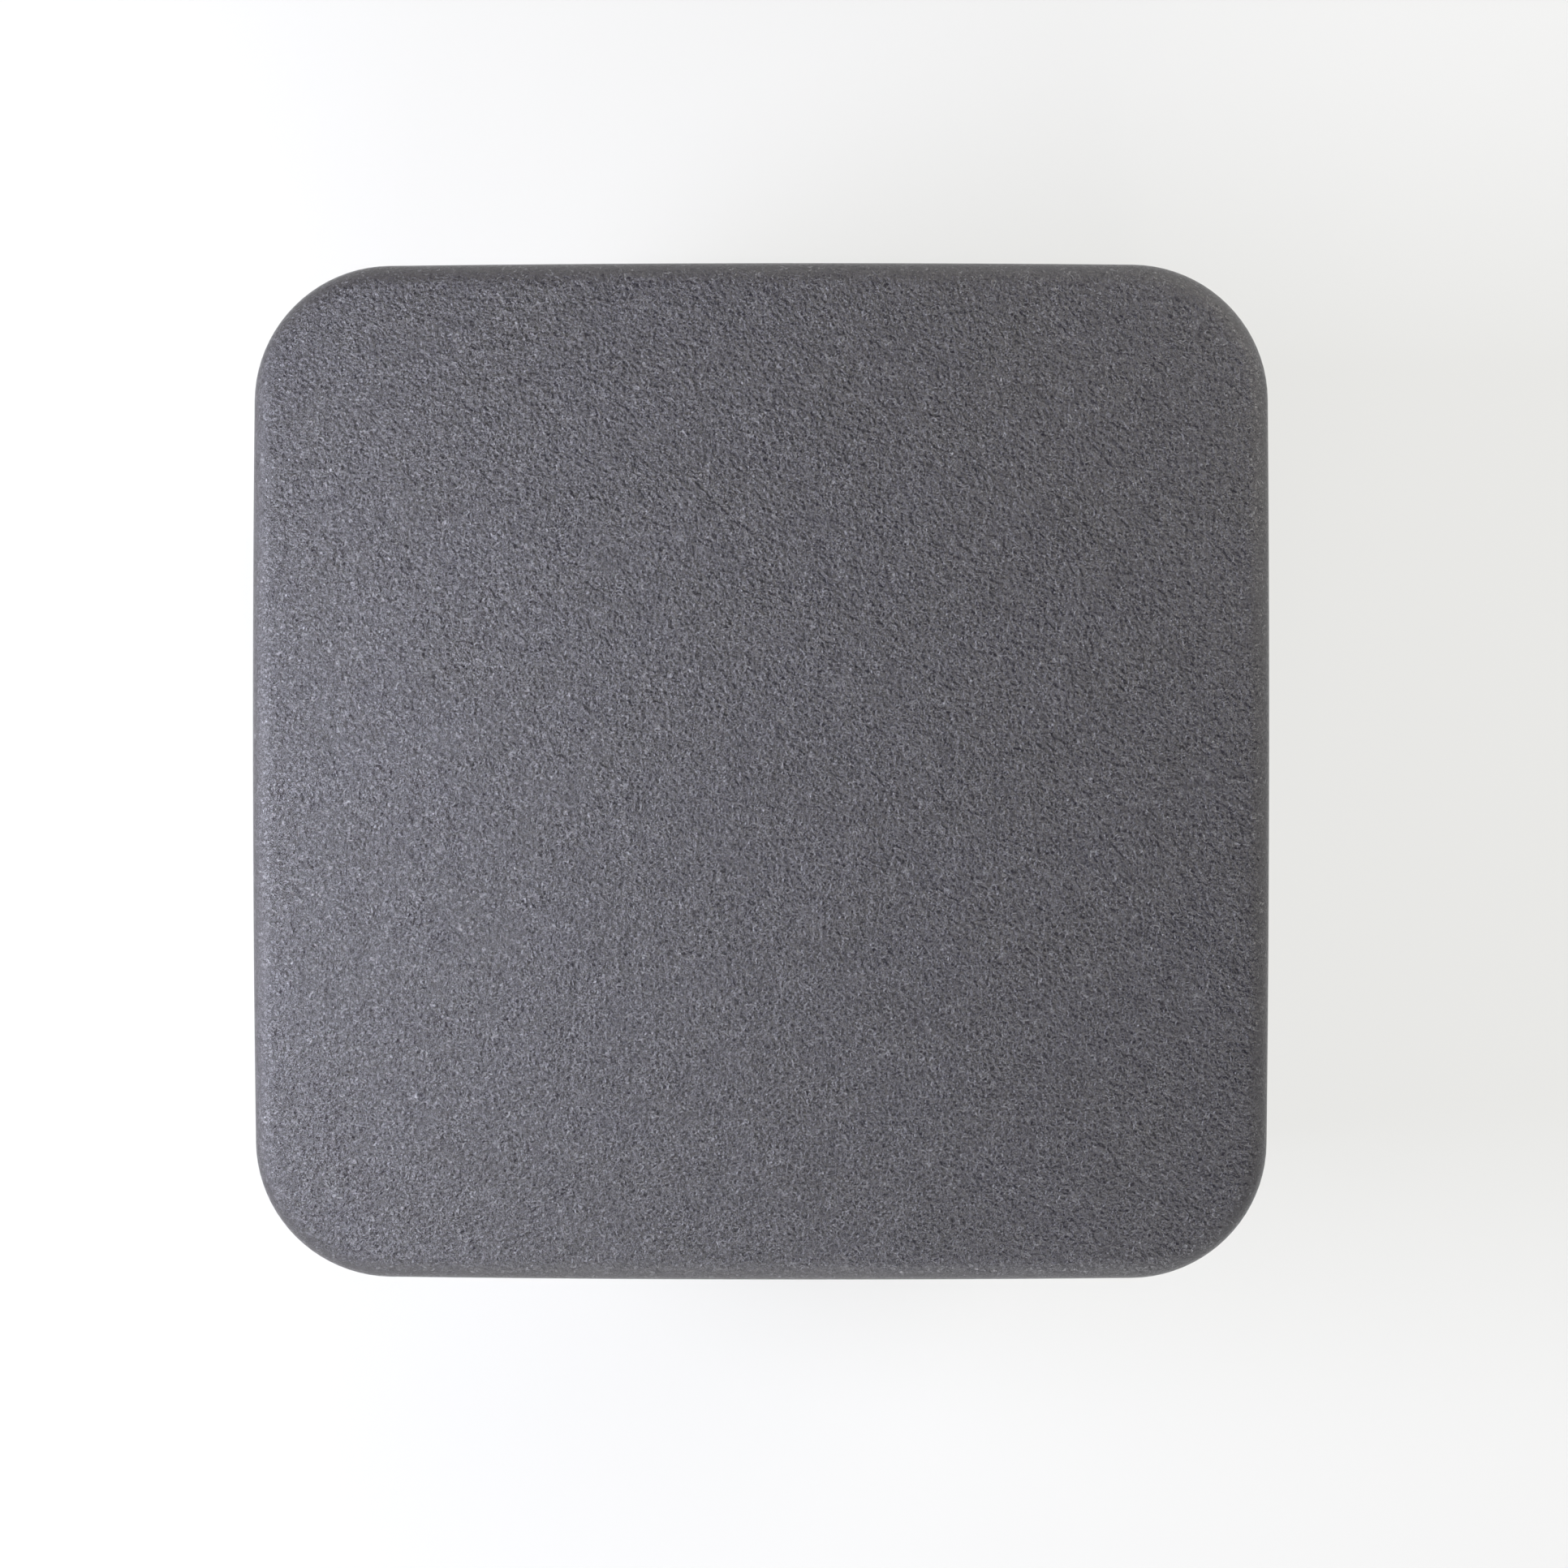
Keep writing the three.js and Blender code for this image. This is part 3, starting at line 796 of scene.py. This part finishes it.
floor_half = 1.5
corner_signs = [(-1, -1), (1, -1), (1, 1), (-1, 1)]
floor_corners = [(floor_half * x, floor_half * y, 0) for x, y in corner_signs]
floor_mesh = bpy.data.meshes.new("table_top")
floor_mesh.from_pydata(floor_corners, [], [(0, 1, 2, 3)])
floor = bpy.data.objects.new("table_top", floor_mesh)
bpy.context.scene.collection.objects.link(floor)
floor_paint, _, floor_surface = new_material("table_white")
floor_surface["Base Color"].default_value = (0.135, 0.135, 0.135, 1)
floor_surface["Emission Color"].default_value = (1, 1, 0.975, 1)
floor_surface["Emission Strength"].default_value = 0.66
floor_surface["Roughness"].default_value = 0.9
floor_surface["Specular IOR Level"].default_value = 0.2
floor.data.materials.append(floor_paint)

front_wall = (4.4, 4.3, 4.1)
side_wall = (2.0, 1.98, 1.9)
doorway_grey = (1.0, 1.0, 1.0)
ceiling_grey = (0.05, 0.05, 0.05)
wall_top = 0.12
ceiling_low = 0.42
world = bpy.data.worlds.new("room")
bpy.context.scene.world = world
world.use_nodes = True
sky = world.node_tree
sky.nodes.clear()
direction = node(sky, "ShaderNodeTexCoord").outputs["Generated"]
toward = node(sky, "ShaderNodeSeparateXYZ", {0: direction}).outputs
above = rescale(sky, toward["Z"], wall_top, ceiling_low, blend="SMOOTHSTEP")
sideways = rescale(sky, calc(sky, "ABSOLUTE", toward["X"]), 0.3, 0.95, blend="SMOOTHSTEP")
walls = colour_mix(sky, sideways, front_wall, side_wall)
front_right = calc(sky, "MULTIPLY", calc(sky, "SUBTRACT", toward["X"], toward["Y"]), math.sqrt(0.5))
doorway = rescale(sky, front_right, 0.75, 0.95, blend="SMOOTHSTEP")
opened = colour_mix(sky, doorway, walls, doorway_grey)
whole = colour_mix(sky, above, opened, ceiling_grey)
background = node(sky, "ShaderNodeBackground", {"Color": whole, "Strength": 1.0})
node(sky, "ShaderNodeOutputWorld", {"Surface": background.outputs[0]})


def window(name, zenith, azimuth, distance, size, energy, colour):
    """A square soft light that faces the cap, so many degrees from straight up, and so many round from the
    right."""
    cap_middle = Vector((0, 0, 0.02))
    light = bpy.data.lights.new(name, "AREA")
    light.shape = "SQUARE"
    light.size = size
    light.energy = energy
    light.color = colour
    made = bpy.data.objects.new(name, light)
    bpy.context.scene.collection.objects.link(made)
    lean = math.radians(zenith)
    turn = math.radians(azimuth)
    away = Vector((math.sin(lean) * math.cos(turn), math.sin(lean) * math.sin(turn), math.cos(lean)))
    made.location = cap_middle + distance * away
    made.rotation_euler = (-away).to_track_quat("-Z", "Y").to_euler()
    made.visible_camera = False


far = {"zenith": 64, "distance": 0.45, "size": 0.22, "energy": 1.8}
near = {"zenith": 55, "distance": 0.19, "size": 0.10, "energy": 1.08}
window("near_window", azimuth=184, colour=(0.86, 0.87, 1.0), **near)
window("front_window", azimuth=272, colour=(0.95, 0.96, 1.0), **far)
window("right_window", azimuth=32, colour=(1.0, 0.97, 0.92), **far)

camera_data = bpy.data.cameras.new("overhead_camera")
camera = bpy.data.objects.new("overhead_camera", camera_data)
bpy.context.scene.collection.objects.link(camera)
seen_width = 0.09285
camera_height = 0.147
camera.location = (0.0027, 0.0006, crown_z + camera_height)
seen_middle = Vector((0.0014, -0.0007, crown_z - 0.003))
back_off = camera.location - seen_middle
camera.rotation_euler = (-math.atan2(back_off.y, back_off.z), math.atan2(back_off.x, back_off.z), 0)
camera_data.sensor_width = 36
camera_data.lens = camera_data.sensor_width * back_off.length / seen_width
camera_data.clip_start = 0.01
bpy.context.scene.camera = camera
bpy.context.scene.view_settings.view_transform = "Standard"
